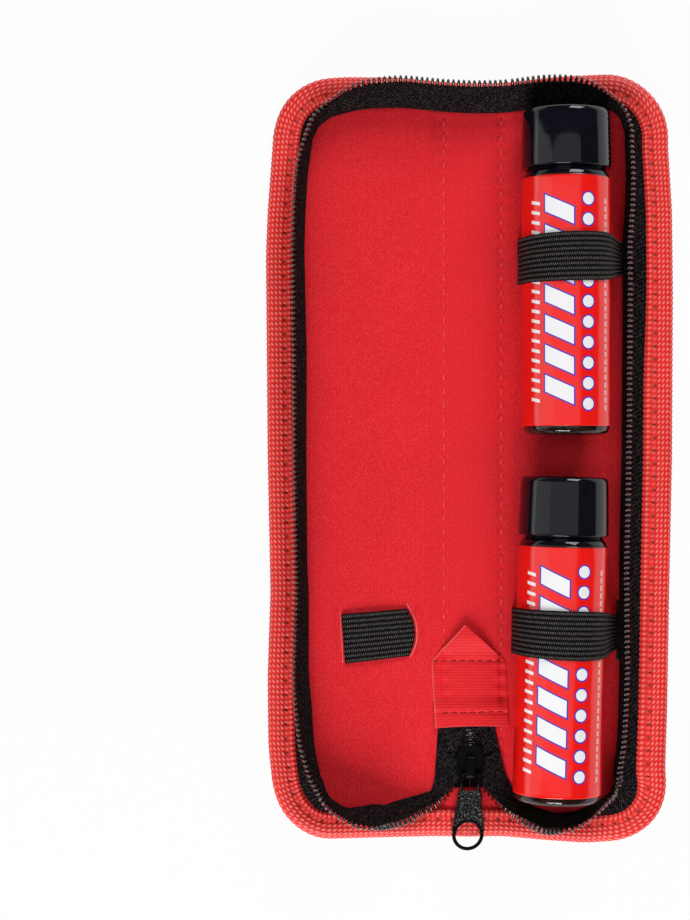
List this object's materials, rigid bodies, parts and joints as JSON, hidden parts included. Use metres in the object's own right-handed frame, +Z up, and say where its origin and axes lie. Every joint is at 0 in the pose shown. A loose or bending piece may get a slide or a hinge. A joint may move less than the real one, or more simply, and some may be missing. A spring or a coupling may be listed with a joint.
{
  "type": "zip-around carry case",
  "caption": "Slim rounded clamshell carry case, opened flat, with a zip round its edge, padded lining, woven binding and elastic loops holding small capped bottles.",
  "frame": {"origin": "middle of the spine's underside, on the surface the open case lies on", "axes": "+Y along the spine away from the zip pull, +X across the open case towards the panel with the bottles, +Z up out of the lining"},
  "size_m": [0.115, 0.2188, 0.0291],
  "materials": {
    "cover": "grained, matt",
    "board": "plain",
    "lining": "fine knit",
    "binding": "woven, slight sheen",
    "zip_tape": "woven",
    "zip_coil": "moulded coil",
    "slider": "black enamel",
    "pull": "hammered black enamel",
    "ribbon": "ribbed ribbon",
    "elastic": "ribbed elastic",
    "glass": "clear amber",
    "sleeve": "glossy film",
    "seal": "shrink film",
    "cap": "smooth"
  },
  "bodies": {
    "base": {"cover_right": "cover", "board_right": "board", "lining_right": "lining", "binding_right": "binding", "zip_tape_right": "zip_tape", "zip_coil_right": "zip_coil", "zip_bridge_right": "zip_tape", "loop_upper": "elastic", "loop_lower": "elastic"},
    "spine": {"cover_spine": "cover", "lining_spine": "lining", "binding_spine_top": "binding", "binding_spine_bottom": "binding", "zip_tape_spine": "zip_tape", "zip_coil_spine": "zip_coil", "zip_fork_right": "zip_tape", "zip_fork_left": "zip_tape", "zip_tail_tape": "zip_tape", "zip_tail_chain": "zip_coil", "ribbon_patch": "ribbon"},
    "cover": {"cover_left": "cover", "board_left": "board", "lining_left": "lining", "binding_left": "binding", "zip_tape_left": "zip_tape", "zip_coil_left": "zip_coil", "zip_bridge_left": "zip_tape", "loop_spare": "elastic"},
    "slider": {"slider_body": "slider"},
    "pull": {"pull_tab": "pull"},
    "upper_bottle": {"upper_glass": "glass", "upper_sleeve": "sleeve", "upper_seal": "seal", "upper_cap": "cap"},
    "lower_bottle": {"lower_glass": "glass", "lower_sleeve": "sleeve", "lower_seal": "seal", "lower_cap": "cap"}
  },
  "joints": [
    {"name": "spine_fold", "type": "hinge", "parent": "base", "child": "spine", "pos_m": [0.0105, 0, 0.0065], "axis": [0, 1, 0], "range_deg": [0, 90], "deforming": ["zip_tape_spine", "zip_coil_spine"]},
    {"name": "cover_fold", "type": "hinge", "parent": "spine", "child": "cover", "pos_m": [-0.0105, 0, 0.0065], "axis": [0, 1, 0], "range_deg": [0, 90]},
    {"name": "slider_travel", "type": "slide", "parent": "spine", "child": "slider", "axis": [0, 1, 0], "range_m": [0, 0.0045]},
    {"name": "pull_swing", "type": "hinge", "parent": "slider", "child": "pull", "pos_m": [0, -0.0892, 0.0058], "axis": [1, 0, 0], "range_deg": [-145, 0]},
    {"name": "upper_bottle_slide", "type": "slide", "parent": "base", "child": "upper_bottle", "axis": [0, 1, 0], "range_m": [-0.0055, 0.0005]},
    {"name": "lower_bottle_slide", "type": "slide", "parent": "base", "child": "lower_bottle", "axis": [0.0209, 0.9998, 0], "range_m": [-0.0015, 0.0055]}
  ],
  "couplings": [
    {"joint": "cover_fold", "follows": "spine_fold", "ratio": 1}
  ]
}
